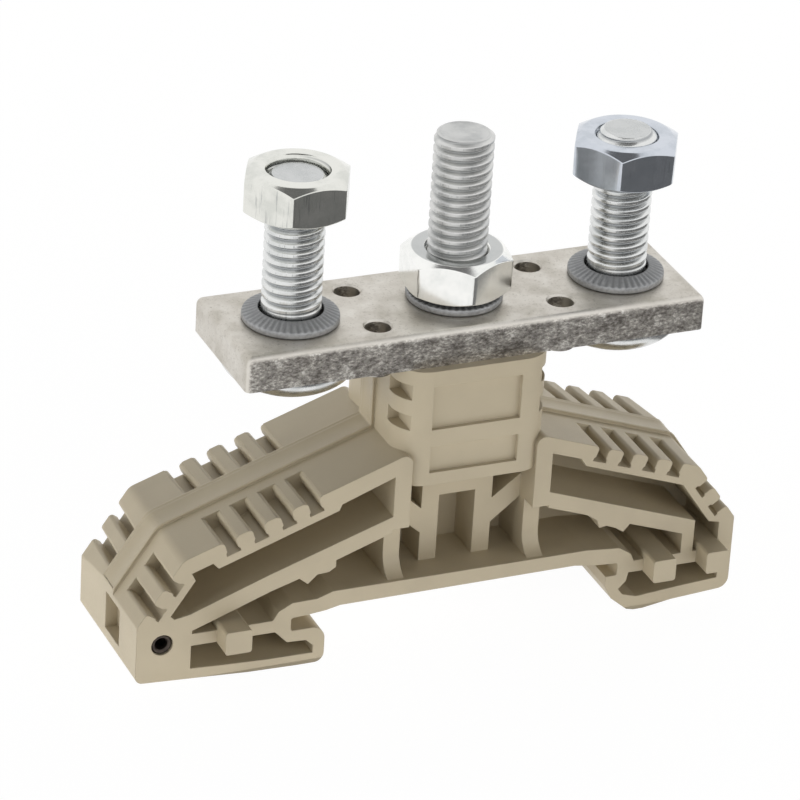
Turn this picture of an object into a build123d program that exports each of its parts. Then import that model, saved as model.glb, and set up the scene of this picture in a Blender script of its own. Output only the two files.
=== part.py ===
import os
from math import asin, cos, sin

from build123d import *

os.makedirs("parts", exist_ok=True)

# All sizes are in millimetres. Outlines are drawn in (x, z) from the rail's
# centre line and the level of the housing's end corners.
rail_x = 1.7
mid_y = 1.2
base_z = 0.8

# housing
half_depth = 8.0
web = 1.2
part_line = -1.2
proud = 0.3
strip_back = 1.95
rear_drop = -0.3
left_end = -33.75
right_end = 30.35
chord_top = 6.97
wall_left = -5.65
wall_right = 7.62
neck_x = 1.0
neck_half = 8.03
neck_round = 3.2
neck_low = 17.25
neck_top = 29.75
bay_step = 4.8
wall_step = 6.0
panel_depth = 0.45
peg_tip = 10.4
slot_deep = 1.6
slot_front = 2.7
slot_rear = 2.0

# metal parts
stud_x = 1.25
left_x = -15.95
right_x = 18.7
stud_r = 2.95
shank_r = 2.68
thread_low = 39.25
bar_x = 1.1
bar_long = 48.4
bar_wide = 14.3
bar_thick = 3.65
bar_round = 0.6
bar_roll = 0.75
bar_top = neck_top + bar_thick
hole_dx = 19.4
hole_dy = 8.0
hole_r = 1.3
collar_r = 1.65
collar_drop = 1.1
head_r = 6.8
head_high = 3.45
head_edge = 0.3
head_ball = (head_r ** 2 + (head_high - head_edge) ** 2) / (2 * (head_high - head_edge))
head_bands = 6
square_neck = 6.0
inner_head_flats = 10.0
inner_head_low = 22.0
inner_head_top = 26.0
nut_flats = 9.8
nut_high = 4.4
nut_bore_r = 3.0
washer_in_r = 3.2
washer_out_r = 4.8
washer_thick = 0.7
free_rise = 0.6
pressed_rise = 0.25
seat_top = bar_top + pressed_rise + washer_thick
pin_x = -31.07
pin_z = 3.95
pin_r = 1.12
pin_bore_r = 0.62
pin_half = 7.85
metal_back = 0.1

face = Plane(origin=(rail_x, mid_y, base_z), x_dir=(1, 0, 0), z_dir=(0, -1, 0))
deck = Plane(origin=(rail_x, mid_y, base_z))
rack = Plane(origin=(rail_x, mid_y + metal_back, base_z))
side = Plane(origin=(rail_x, mid_y, base_z), x_dir=(0, 1, 0), z_dir=(1, 0, 0))


def body_outline(y, rise):
    """Outer outline of the moulding at depth y, its sloping sides moved out by rise."""
    with BuildSketch(face.offset(-y)) as outline:
        with BuildLine():
            Polyline(
                (left_end, 0), (-25, -0.5), (-22, -0.68), (-17, -0.8), (-14.0, -0.8), (-14.0, 3.2),
                (-17.65, 3.2), (-17.65, 4.65), (-16, 4.75), (-14, 4.95), (-12.5, 5.28), (12.8, 5.45),
                (15, 5.1), (17.62, 4.95), (17.62, 3.55), (16.38, 3.55), (16.38, 2.4), (17.2, 0.9),
                (19.0, -0.6), (19.8, -0.8), (20.8, -0.8), (24, -0.3), (right_end, 0.15),
                (right_end, 8.24 + 1.745 * rise),
                (25.82 + 0.634 * rise, 14.72 + 0.838 * rise),
                (wall_right, 21.09 + 1.06 * rise), (wall_right, neck_low),
                (wall_left, neck_low), (wall_left, 21.24 + 1.06 * rise),
                (-29.15 - 0.64 * rise, 12.95 + 0.835 * rise),
                (left_end, 6.24 + 1.766 * rise),
                close=True,
            )
        make_face()
        rounds = (
            (left_end, 0, 0.8), (-14.0, -0.8, 1.0), (-14.0, 3.2, 1.4), (-17.65, 3.2, 0.25),
            (-17.65, 4.65, 0.25), (17.62, 4.95, 0.25), (17.62, 3.55, 0.25), (right_end, 0, 1.2),
            (right_end, 8.24, 0.6), (25.82, 14.72, 1.2), (wall_right, 21.2, 0.9),
            (wall_left, 21.3, 0.9), (-29.15, 12.95, 1.5), (left_end, 6.24, 0.5),
        )
        for x, z, r in rounds:
            corner = outline.vertices().sort_by_distance((x, z))[0]
            fillet(corner, radius=r)
    return outline.sketch


# Pockets cored from both faces down to the middle web.
upper_left = (
    (-7.4, 14.33), (-7.4, 18.75), (-12.9, 16.6), (-13.15, 15.95), (-25.5, 11.55), (-26.1, 12.2),
    (-28.25, 11.45), (-27.85, 10.6), (-30.3, 7.0), (-29.9, 6.6), (-28.3, 6.9), (-20, 10.0),
    (-12, 12.75),
)
lower_left = (
    (-28.0, 4.68), (-19.6, 4.68), (-19, 5.6), (-17.6, 6.35), (-15, 6.4), (-13.3, chord_top),
    (-7.4, chord_top), (-7.4, 12.55), (-13.2, 10.45), (-13.2, 9.7), (-13.9, 9.25), (-15.1, 9.15),
    (-16.1, 8.25), (-17, 9.0), (-20, 8.05), (-25, 6.15), (-28.0, 5.05),
)
foot_left = (
    (-28.07, 0.8), (-25, 0.62), (-20, 0.4), (-15.2, 0.35), (-15.2, 1.2), (-16, 1.9), (-18, 2.0),
    (-19.3, 3.36), (-28.07, 3.36),
)
upper_right = (
    (9.4, 14.4), (9.4, 18.75), (12.6, 17.63), (13.15, 16.75), (24.2, 12.85), (27.5, 8.15),
    (28.68, 7.9), (28.68, 4.95), (25.94, 4.95), (25.94, 8.5), (25.0, 8.85),
)
lower_right = (
    (9.38, chord_top), (14, 7.0), (17.7, 6.65), (19, 5.8), (19.4, 4.95), (24.6, 4.95), (24.6, 7.2),
    (18.6, 9.3), (17.9, 8.5), (17, 9.1), (16, 9.5), (15.2, 9.4), (14.9, 10.3), (13.7, 11.1),
    (9.38, 12.63),
)
foot_right = (
    (18.9, 3.65), (18.7, 2.7), (17.9, 1.9), (18.4, 1.2), (20, 0.7), (24, 1.05), (29.0, 1.4),
    (29.0, 3.65),
)
pi_slot = ((-1.14, chord_top), (2.73, chord_top), (2.73, 14.1), (-1.14, 14.1))
bay_low_left = ((wall_left, chord_top), (-3.0, chord_top), (-3.0, 10.14), (wall_left, 12.44))
bay_top_left = ((-3.0, 12.87), (-3.0, neck_low), (wall_left, neck_low), (wall_left, 15.15))
bay_low_right = ((4.6, chord_top), (wall_right, chord_top), (wall_right, 12.6), (4.6, 10.14))
bay_top_right = ((4.6, 12.87), (wall_right, 15.2), (wall_right, neck_low), (4.6, neck_low))
pockets = (
    upper_left, lower_left, foot_left, upper_right, lower_right, foot_right, pi_slot,
    bay_low_left, bay_top_left, bay_low_right, bay_top_right,
)

# Marker slots: start, direction and centre distances of each row of four or two.
slot_rows = (
    (-6.35, 20.91, 199.44, (10.22, 13.18, 16.22, 19.25)),
    (8.3, 20.85, -19.29, (7.22, 10.15, 13.08, 16.02)),
    (-33.5, 6.61, 55.54, (1.88, 4.9)),
    (25.82, 14.72, -55.03, (2.65, 5.55)),
)


def slot_sketch(plane, x, z, turn, rise):
    """One marker slot: open at the surface, narrower below, wider at the floor."""
    with BuildSketch() as slot:
        with BuildLine():
            Polyline((-0.6, rise - 0.38), (-0.6, -1.15), (-0.76, -1.25), (-0.76, -slot_deep),
                     (0.76, -slot_deep), (0.76, -1.25), (0.6, -1.15), (0.6, rise - 0.38))
            ThreePointArc((0.6, rise - 0.38), (0.71, rise - 0.11), (0.98, rise))
            Polyline((0.98, rise), (0.98, rise + 1), (-0.98, rise + 1), (-0.98, rise))
            ThreePointArc((-0.98, rise), (-0.71, rise - 0.11), (-0.6, rise - 0.38))
        make_face()
    with BuildSketch(plane) as placed:
        with Locations(Location((x, z, 0), (0, 0, turn))):
            add(slot.sketch)
    return placed.sketch


def slot_places():
    """Where each marker slot opens on the middle surface, and how it is turned."""
    for x, z, angle, steps in slot_rows:
        run = Vector(1, 0).rotate(Axis.Z, angle)
        for step in steps:
            yield x + run.X * step, z + run.Y * step, angle - 180 if angle > 90 else angle


with BuildPart() as housing:
    extrude(body_outline(part_line, 0), amount=half_depth + part_line)
    extrude(body_outline(part_line, proud), amount=part_line - strip_back)
    loft((body_outline(strip_back, proud), body_outline(half_depth, rear_drop)), ruled=True)
    # neck column with the same raised strip along its sides
    with BuildSketch(deck.offset(neck_low)):
        with Locations((neck_x, 0)):
            RectangleRounded(2 * neck_half, 2 * half_depth, neck_round)
        with Locations((neck_x, (part_line + strip_back) / 2)):
            Rectangle(2 * (neck_half + proud), strip_back - part_line)
    extrude(amount=neck_top - neck_low)
    # bay under the neck, stepped back from both faces
    for way in (1, -1):
        with BuildSketch(face.offset(way * half_depth)):
            with BuildLine():
                Polyline((wall_left, chord_top), (wall_right, chord_top), (wall_right, neck_low),
                         (wall_left, neck_low), close=True)
            make_face()
        extrude(amount=-way * (half_depth - bay_step), mode=Mode.SUBTRACT)
        for outline in pockets:
            with BuildSketch(face.offset(way * half_depth)):
                with BuildLine():
                    Polyline(*outline, close=True)
                make_face()
            extrude(amount=-way * (half_depth - web / 2), mode=Mode.SUBTRACT)
        # the two upright walls are set back between the chord and the struts
        for x, wide in ((wall_left - 1.75, 1.75), (wall_right, 1.76)):
            with BuildSketch(side.offset(x)):
                with BuildLine():
                    Polyline((-way * (half_depth + 1), chord_top), (-way * (half_depth - 0.4), chord_top))
                    ThreePointArc((-way * (half_depth - 0.4), chord_top), (-way * 6.35, 8.0),
                                  (-way * wall_step, 9.4))
                    Polyline((-way * wall_step, 9.4), (-way * wall_step, 12.9),
                             (-way * (half_depth + 1), 12.9), (-way * (half_depth + 1), chord_top))
                make_face()
            extrude(amount=wide, mode=Mode.SUBTRACT)
    # marker slots in front of the plain middle strip, and behind it, where they sink with the surface
    for x, z, turn in slot_places():
        front = slot_sketch(face.offset(slot_front), x, z, turn, 0)
        extrude(front, amount=half_depth, mode=Mode.SUBTRACT)
        rear = [slot_sketch(face.offset(-y), x, z, turn, rise)
                for y, rise in ((slot_rear, proud), (half_depth, rear_drop))]
        loft(rear, ruled=True, mode=Mode.SUBTRACT)
    # two shallow panels on the front of the neck
    with BuildSketch(face.offset(half_depth)):
        with Locations((0.8, 25.71)):
            Rectangle(9.35, 4.72)
        with Locations((0.8, 20.07)):
            Rectangle(9.3, 2.9)
    extrude(amount=-panel_depth, mode=Mode.SUBTRACT)
    # openings in the rounded corners of the neck
    for z in (27.37, 24.07):
        for x in (neck_x - neck_half, neck_x + neck_half):
            for y in (-half_depth, half_depth):
                with BuildSketch(deck.offset(z - 0.8)):
                    with Locations((x, y)):
                        Rectangle(2 * 1.18, 2 * 3.7)
                extrude(amount=1.6, mode=Mode.SUBTRACT)
    # pegs through the foot strips
    for x, z, wide, high in ((-24.02, 4.35, 2.75, 2.5), (21.75, 4.65, 2.5, 2.5), (27.65, 4.7, 2.5, 2.4)):
        with BuildSketch(face):
            with Locations((x, z)):
                RectangleRounded(wide, high, 0.3)
        extrude(amount=peg_tip)
    # hole for the pin and the notch in the left end
    with BuildSketch(face.offset(half_depth)):
        with Locations((pin_x, pin_z)):
            Circle(pin_r)
    extrude(amount=-2 * half_depth, mode=Mode.SUBTRACT)
    with BuildSketch(side.offset(left_end)):
        with Locations((-1.23, 3.62)):
            Rectangle(3.95, 4.05)
    extrude(amount=1.3, mode=Mode.SUBTRACT)
    # room for the moulded-in stud and for the collars of the bar
    with BuildSketch(rack.offset(inner_head_low)):
        with Locations((stud_x, 0)):
            RegularPolygon(inner_head_flats / 2, 6, major_radius=False)
    extrude(amount=inner_head_top - inner_head_low, mode=Mode.SUBTRACT)
    with BuildSketch(rack.offset(inner_head_top)):
        with Locations((stud_x, 0)):
            Circle(shank_r)
    extrude(amount=neck_top - inner_head_top, mode=Mode.SUBTRACT)
    with BuildSketch(rack.offset(neck_top)):
        with Locations((stud_x, 0)):
            with GridLocations(hole_dx, hole_dy, 2, 2):
                Circle(collar_r + 0.05)
    extrude(amount=-collar_drop - 0.1, mode=Mode.SUBTRACT)

housing.part.label = "housing"
export_step(housing.part, "parts/housing.step")

with BuildPart() as current_bar:
    with BuildSketch(rack.offset(neck_top)):
        with Locations((bar_x, 0)):
            RectangleRounded(bar_long, bar_wide, bar_round)
    extrude(amount=bar_thick)
    fillet(current_bar.edges().filter_by(Axis.X).group_by(Axis.Z)[-1], radius=bar_roll)
    with BuildSketch(rack.offset(neck_top)):
        with Locations((stud_x, 0)):
            with GridLocations(hole_dx, hole_dy, 2, 2):
                Circle(collar_r)
    extrude(amount=-collar_drop)
    with Locations(rack.offset(bar_top)):
        with Locations((stud_x, 0)):
            with GridLocations(hole_dx, hole_dy, 2, 2):
                CounterSinkHole(hole_r, hole_r + 0.18, depth=bar_thick + collar_drop)
    with BuildSketch(rack.offset(neck_top)):
        with Locations((stud_x, 0)):
            Circle(stud_r + 0.25)
        with Locations((left_x, 0), (right_x, 0)):
            Rectangle(square_neck + 0.1, square_neck + 0.1)
    extrude(amount=bar_thick, mode=Mode.SUBTRACT)

current_bar.part.label = "current_bar"
export_step(current_bar.part, "parts/current_bar.step")


def upright(x):
    """Drawing plane through a stud's axis, local y upwards."""
    return Plane(origin=(rail_x + x, mid_y + metal_back, base_z), x_dir=(1, 0, 0), z_dir=(0, -1, 0))


def spin(x):
    """The axis of the stud at x."""
    return Axis((rail_x + x, mid_y + metal_back, 0), (0, 0, 1))

def head_profile():
    """Points of the bolt head's ball-shaped underside from its rim to the axis, in even bands."""
    wide = asin(head_r / head_ball)
    for band in range(head_bands, -1, -1):
        angle = wide * band / head_bands
        yield head_ball * sin(angle), neck_top - head_high + head_ball * (1 - cos(angle))


# round-headed bolts from below with a square neck and a chamfered end
for name, x, tip, end in (("left_stud", left_x, 48.85, 0.5), ("right_stud", right_x, 49.2, 0.65)):
    with BuildPart() as stud:
        with BuildSketch(upright(x)):
            with BuildLine():
                Polyline((0, tip), (stud_r - end, tip), (stud_r, tip - end), (stud_r, neck_top),
                         (head_r, neck_top), *head_profile(), close=True)
            make_face()
        revolve(axis=spin(x))
        with BuildSketch(rack.offset(neck_top)):
            with Locations((x, 0)):
                Rectangle(square_neck, square_neck)
        extrude(amount=bar_thick - 0.3)
    stud.part.label = name
    export_step(stud.part, f"parts/{name}.step")

with BuildPart() as centre_stud:
    with BuildSketch(rack.offset(inner_head_low)):
        with Locations((stud_x, 0)):
            RegularPolygon(inner_head_flats / 2, 6, major_radius=False)
    extrude(amount=inner_head_top - inner_head_low)
    # the shank is as thick as the thread's middle where nut, bar and neck hold it
    with BuildSketch(rack.offset(inner_head_top)):
        with Locations((stud_x, 0)):
            Circle(shank_r)
    extrude(amount=thread_low - inner_head_top)
    with BuildSketch(rack.offset(thread_low)):
        with Locations((stud_x, 0)):
            Circle(stud_r)
    extrude(amount=51.0 - thread_low)
    chamfer(centre_stud.edges().group_by(Axis.Z)[-1], length=0.45)

centre_stud.part.label = "centre_stud"
export_step(centre_stud.part, "parts/centre_stud.step")

# plain hexagon nuts, chamfered above and below, the bore countersunk above
nuts = (("left_nut", left_x, 44.95, 4.5), ("right_nut", right_x, 44.25, 1),
        ("centre_nut", stud_x, seat_top, 25.8))
for name, x, low, turn in nuts:
    with BuildPart() as nut:
        with BuildSketch(rack.offset(low)):
            with Locations((x, 0)):
                RegularPolygon(nut_flats / 2, 6, major_radius=False, rotation=turn)
        extrude(amount=nut_high)
        with BuildSketch(upright(x)):
            with BuildLine():
                Polyline((nut_bore_r, low), (4.75, low), (5.8, low + 0.6),
                         (5.8, low + nut_high - 0.6), (4.75, low + nut_high),
                         (nut_bore_r + 0.35, low + nut_high), (nut_bore_r, low + nut_high - 0.35),
                         close=True)
            make_face()
        revolve(axis=spin(x), mode=Mode.INTERSECT)
    nut.part.label = name
    export_step(nut.part, f"parts/{name}.step")

# conical contact washers, the inner rim higher than the outer one
washers = (("left_washer", left_x, free_rise), ("right_washer", right_x, free_rise),
           ("centre_washer", stud_x, pressed_rise))
for name, x, rise in washers:
    with BuildPart() as washer:
        with BuildSketch(upright(x)):
            with BuildLine():
                Polyline((washer_in_r, bar_top + rise), (washer_out_r, bar_top),
                         (washer_out_r, bar_top + washer_thick),
                         (washer_in_r, bar_top + rise + washer_thick), close=True)
            make_face()
        revolve(axis=spin(x))
    washer.part.label = name
    export_step(washer.part, f"parts/{name}.step")

with BuildPart() as foot_pin:
    with BuildSketch(face.offset(pin_half)):
        with Locations((pin_x, pin_z)):
            Circle(pin_r)
            Circle(pin_bore_r, mode=Mode.SUBTRACT)
    extrude(amount=-2 * pin_half)

foot_pin.part.label = "foot_pin"
export_step(foot_pin.part, "parts/foot_pin.step")
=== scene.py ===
"""Dresses the stud terminal block.

The housing and the current bar keep their solids and get their finishes here.
The studs, nuts, washers and the pin are made again with their threads, ribs
and chamfers, each in the place of its own node, and the housing's raised
strip gets its thin lips.
"""

import logging
from dataclasses import dataclass
from enum import Enum
from math import cos, radians, sin, sqrt
from typing import Any, Sequence

import bpy
import numpy as np
from mathutils import Matrix, Vector


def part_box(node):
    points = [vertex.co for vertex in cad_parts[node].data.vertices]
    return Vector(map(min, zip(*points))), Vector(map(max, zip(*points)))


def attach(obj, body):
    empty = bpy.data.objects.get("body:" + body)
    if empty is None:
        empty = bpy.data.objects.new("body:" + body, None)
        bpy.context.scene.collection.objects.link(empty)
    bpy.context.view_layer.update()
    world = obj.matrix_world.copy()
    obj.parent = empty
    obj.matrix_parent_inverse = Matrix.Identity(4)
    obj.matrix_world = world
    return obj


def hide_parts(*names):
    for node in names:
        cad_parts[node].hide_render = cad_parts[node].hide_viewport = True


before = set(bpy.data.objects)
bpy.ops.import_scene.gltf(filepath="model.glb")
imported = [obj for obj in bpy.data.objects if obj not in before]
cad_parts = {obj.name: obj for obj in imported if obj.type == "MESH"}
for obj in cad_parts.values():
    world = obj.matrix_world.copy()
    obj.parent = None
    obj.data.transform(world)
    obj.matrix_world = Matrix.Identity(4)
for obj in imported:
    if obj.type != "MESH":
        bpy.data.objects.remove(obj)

log = logging.getLogger("terminal_block")

MM = 0.001
IMAGE_PX = 800
WHITE = "#FFFFFF"
UP = Vector((0.0, 0.0, 1.0))


class Slot(Enum):
    """Names of the record's material slots for the new pieces' finishes; nothing in this script uses them."""

    MOULDING = "moulding"
    ZINC = "zinc"
    GREY_STEEL = "grey_steel"


def linear(code: str) -> tuple[float, float, float, float]:
    """Turns an sRGB hex colour into Blender's linear colour.

    Args:
        code: the colour as #RRGGBB.

    Returns:
        Red, green, blue and an alpha of 1.
    """
    parts = np.array([int(code[i:i + 2], 16) for i in (1, 3, 5)]) / 255.0
    flat = np.where(parts <= 0.04045, parts / 12.92, ((parts + 0.055) / 1.055) ** 2.4)
    return (*(float(v) for v in flat), 1.0)


def per_mm(size: float) -> float:
    """The noise scale that gives features of size millimetres on Object coordinates."""
    return 1.0 / (size * MM)


def add_node(
    tree: bpy.types.NodeTree,
    kind: str,
    settings: dict[Any, Any] | None = None,
    links: dict[Any, bpy.types.NodeSocket | bpy.types.Node] | None = None,
) -> bpy.types.Node:
    """Adds one node with its settings and the links into it.

    Sockets are numbered from the top: 1 to 4 of a Map Range node are the ends
    that it maps from and to, and 6 and 7 of a colour Mix node its two colours.

    Args:
        tree: the node tree that gets the node.
        kind: the node's type name.
        settings: values by socket name, socket number or property name, and a
            colour ramp's places and hex colours, from low to high, as stops.
        links: the source of each linked input, by socket name or number: a
            socket, or a node for its first output.

    Returns:
        The new node.
    """
    node = tree.nodes.new(kind)
    for key, value in (settings or {}).items():
        if key == "stops":
            elements = node.color_ramp.elements
            while len(elements) < len(value):
                elements.new(0.5)
            for element, (place, code) in zip(elements, value):
                element.position = place
                element.color = linear(code)
        elif isinstance(key, int) or key in node.inputs:
            node.inputs[key].default_value = value
        else:
            setattr(node, key, value)
    for key, source in (links or {}).items():
        socket = source.outputs[0] if isinstance(source, bpy.types.Node) else source
        tree.links.new(socket, node.inputs[key])
    return node


def new_material(name: str) -> tuple[bpy.types.Material, bpy.types.NodeTree]:
    """Starts an empty node material.

    Args:
        name: the material's name.

    Returns:
        The material and its node tree.
    """
    material = bpy.data.materials.new(name)
    material.use_nodes = True
    material.node_tree.nodes.clear()
    return material, material.node_tree


@dataclass(frozen=True)
class MouldedPolyamide:
    """Polyamide 66, injection moulded in beige.

    The tool's fine spark-eroded texture gives a satin face with a soft wide
    highlight, its colour drifts a little where the melt cooled unevenly, and
    no edge is quite sharp. Patterns, depths and the edge are in millimetres;
    the real grain, about 0.08, is too fine to show and is drawn coarser.
    """

    name: str = "polyamide_moulded"
    colour: str = "#B6AA91"
    cool: str = "#B0A48C"
    warm: str = "#BAAE95"
    ior: float = 1.53
    roughness: float = 0.46
    drift: float = 7.0
    sink: float = 5.0
    sink_depth: float = 0.05
    grain: float = 0.22
    grain_depth: float = 0.012
    edge: float = 0.13

    def material(self) -> bpy.types.Material:
        """Makes the beige moulding's material.

        Returns:
            The material.
        """
        material, tree = new_material(self.name)
        place = add_node(tree, "ShaderNodeTexCoord").outputs["Object"]
        drift, grain, sink = (
            add_node(tree, "ShaderNodeTexNoise", {"Scale": per_mm(size), "Detail": detail}, {"Vector": place})
            for size, detail in ((self.drift, 4.0), (self.grain, 2.0), (self.sink, 1.0))
        )
        colour = add_node(
            tree, "ShaderNodeValToRGB",
            {"stops": ((0.3, self.cool), (0.5, self.colour), (0.72, self.warm))}, {0: drift},
        )
        satin = add_node(
            tree, "ShaderNodeMapRange",
            {1: 0.3, 2: 0.7, 3: self.roughness - 0.05, 4: self.roughness + 0.06}, {0: grain},
        )
        edge = add_node(tree, "ShaderNodeBevel", {"samples": 6, "Radius": self.edge * MM})
        waves = add_node(
            tree, "ShaderNodeBump", {"Strength": 0.35, "Distance": self.sink_depth * MM},
            {"Height": sink, "Normal": edge},
        )
        bump = add_node(
            tree, "ShaderNodeBump", {"Strength": 0.3, "Distance": self.grain_depth * MM},
            {"Height": grain, "Normal": waves},
        )
        shader = add_node(
            tree, "ShaderNodeBsdfPrincipled", {"IOR": self.ior, "Metallic": 0.0},
            {"Base Color": colour, "Roughness": satin, "Normal": bump},
        )
        add_node(tree, "ShaderNodeOutputMaterial", links={"Surface": shader})
        return material


@dataclass(frozen=True)
class TinnedCopper:
    """A copper bar, sheared to length, tumbled and hot tinned.

    The tin lies in soft blotches of slightly lighter and darker grey with small
    dark pits. The rolled edges carry a painted highlight, and the long sheared
    sides are torn, so they glitter in small bright and dark flecks, painted into
    the colour as glints and shade among the torn grey tones over a bump of the
    same flecks. Patterns and depths are in millimetres, and tear_turn is the
    tear's slope in radians.
    """

    name: str = "tinned_copper"
    bright: str = "#D9D5CD"
    plain: str = "#CDC8BF"
    dull: str = "#BDB8AD"
    pitted: str = "#8B8478"
    # Colour of the painted highlight along the rolled edges.
    rubbed: str = "#E6E2DA"
    # Torn tones, darkest to brightest: the darkest is painted shade, the brightest painted glints.
    torn_shade: str = "#76716B"
    torn_plain: str = "#A6A19B"
    torn_light: str = "#C4BFB7"
    torn_glint: str = "#F3F0EA"
    blotch: float = 3.4
    pit: float = 0.24
    pit_depth: float = 0.03
    dent: float = 2.6
    dent_depth: float = 0.1
    fleck: float = 0.22
    fleck_depth: float = 0.07
    patch: float = 1.6
    tear_turn: float = 0.7
    tear_stretch: float = 0.55

    def material(self) -> bpy.types.Material:
        """Makes the bar's material; its long sides are told from the rest by the normal.

        Returns:
            The material.
        """
        material, tree = new_material(self.name)
        place = add_node(tree, "ShaderNodeTexCoord").outputs["Object"]
        tear = add_node(
            tree, "ShaderNodeMapping",
            {"Rotation": (0.0, self.tear_turn, 0.0), "Scale": (self.tear_stretch, 1.0, 1.0)},
            {"Vector": place},
        )
        blotch, pit, fleck, patch, dent = (
            add_node(
                tree, "ShaderNodeTexNoise",
                {"Scale": per_mm(size), "Detail": detail, "Roughness": rough}, {"Vector": where},
            )
            for size, detail, rough, where in (
                (self.blotch, 5.0, 0.6, place),
                (self.pit, 4.0, 0.7, place),
                (self.fleck, 4.0, 0.7, tear),
                (self.patch, 3.0, 0.6, place),
                (self.dent, 2.0, 0.5, place),
            )
        )
        tin = add_node(
            tree, "ShaderNodeValToRGB",
            {"stops": ((0.32, self.dull), (0.5, self.plain), (0.68, self.bright))}, {0: blotch},
        )
        is_pit = add_node(tree, "ShaderNodeMapRange", {1: 0.56, 2: 0.72, 3: 0.0, 4: 0.7}, {0: pit})
        top = add_node(
            tree, "ShaderNodeMix", {"data_type": "RGBA", 7: linear(self.pitted)}, {0: is_pit, 6: tin},
        )
        uneven = add_node(
            tree, "ShaderNodeMath", {"operation": "MULTIPLY_ADD", 1: 0.6}, {0: patch, 2: fleck},
        )
        # The sides' glitter is painted into their colour: the darkest flecks as painted shade, the brightest
        # as painted glints, among the torn grey tones.
        torn_stops = (
            (0.62, self.torn_shade), (0.77, self.torn_plain),
            (0.87, self.torn_light), (0.98, self.torn_glint),
        )
        side = add_node(tree, "ShaderNodeValToRGB", {"stops": torn_stops}, {0: uneven})
        normal = add_node(tree, "ShaderNodeNewGeometry").outputs["Normal"]
        forward = add_node(tree, "ShaderNodeSeparateXYZ", links={0: normal}).outputs["Y"]
        facing = add_node(tree, "ShaderNodeMath", {"operation": "ABSOLUTE"}, {0: forward})
        is_side = add_node(tree, "ShaderNodeMapRange", {1: 0.75, 2: 0.97, 3: 0.0, 4: 1.0}, {0: facing})
        # Painted highlight: normals between the top and a side, on the rolled edges, take the highlight
        # colour.
        edge_highlight_share = add_node(tree, "ShaderNodeMapRange", {1: 0.25, 2: 0.55, 3: 0.0, 4: 0.65}, {0: facing})
        edge_highlighted = add_node(
            tree, "ShaderNodeMix", {"data_type": "RGBA", 7: linear(self.rubbed)},
            {0: edge_highlight_share, 6: top.outputs[2]},
        )
        colour = add_node(
            tree, "ShaderNodeMix", {"data_type": "RGBA"}, {0: is_side, 6: edge_highlighted.outputs[2], 7: side},
        )
        shine = add_node(tree, "ShaderNodeMapRange", {1: 0.35, 2: 0.65, 3: 0.46, 4: 0.34}, {0: blotch})
        waves = add_node(
            tree, "ShaderNodeBump", {"Strength": 0.4, "Distance": self.dent_depth * MM}, {"Height": dent},
        )
        pits = add_node(
            tree, "ShaderNodeBump", {"Strength": 0.5, "Distance": self.pit_depth * MM},
            {"Height": pit, "Normal": waves},
        )
        torn = add_node(
            tree, "ShaderNodeBump", {"Distance": self.fleck_depth * MM},
            {"Strength": is_side, "Height": fleck, "Normal": pits},
        )
        shader = add_node(
            tree, "ShaderNodeBsdfPrincipled", {"Metallic": 1.0},
            {"Base Color": colour.outputs[2], "Roughness": shine, "Normal": torn},
        )
        add_node(tree, "ShaderNodeOutputMaterial", links={"Surface": shader})
        return material


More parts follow.
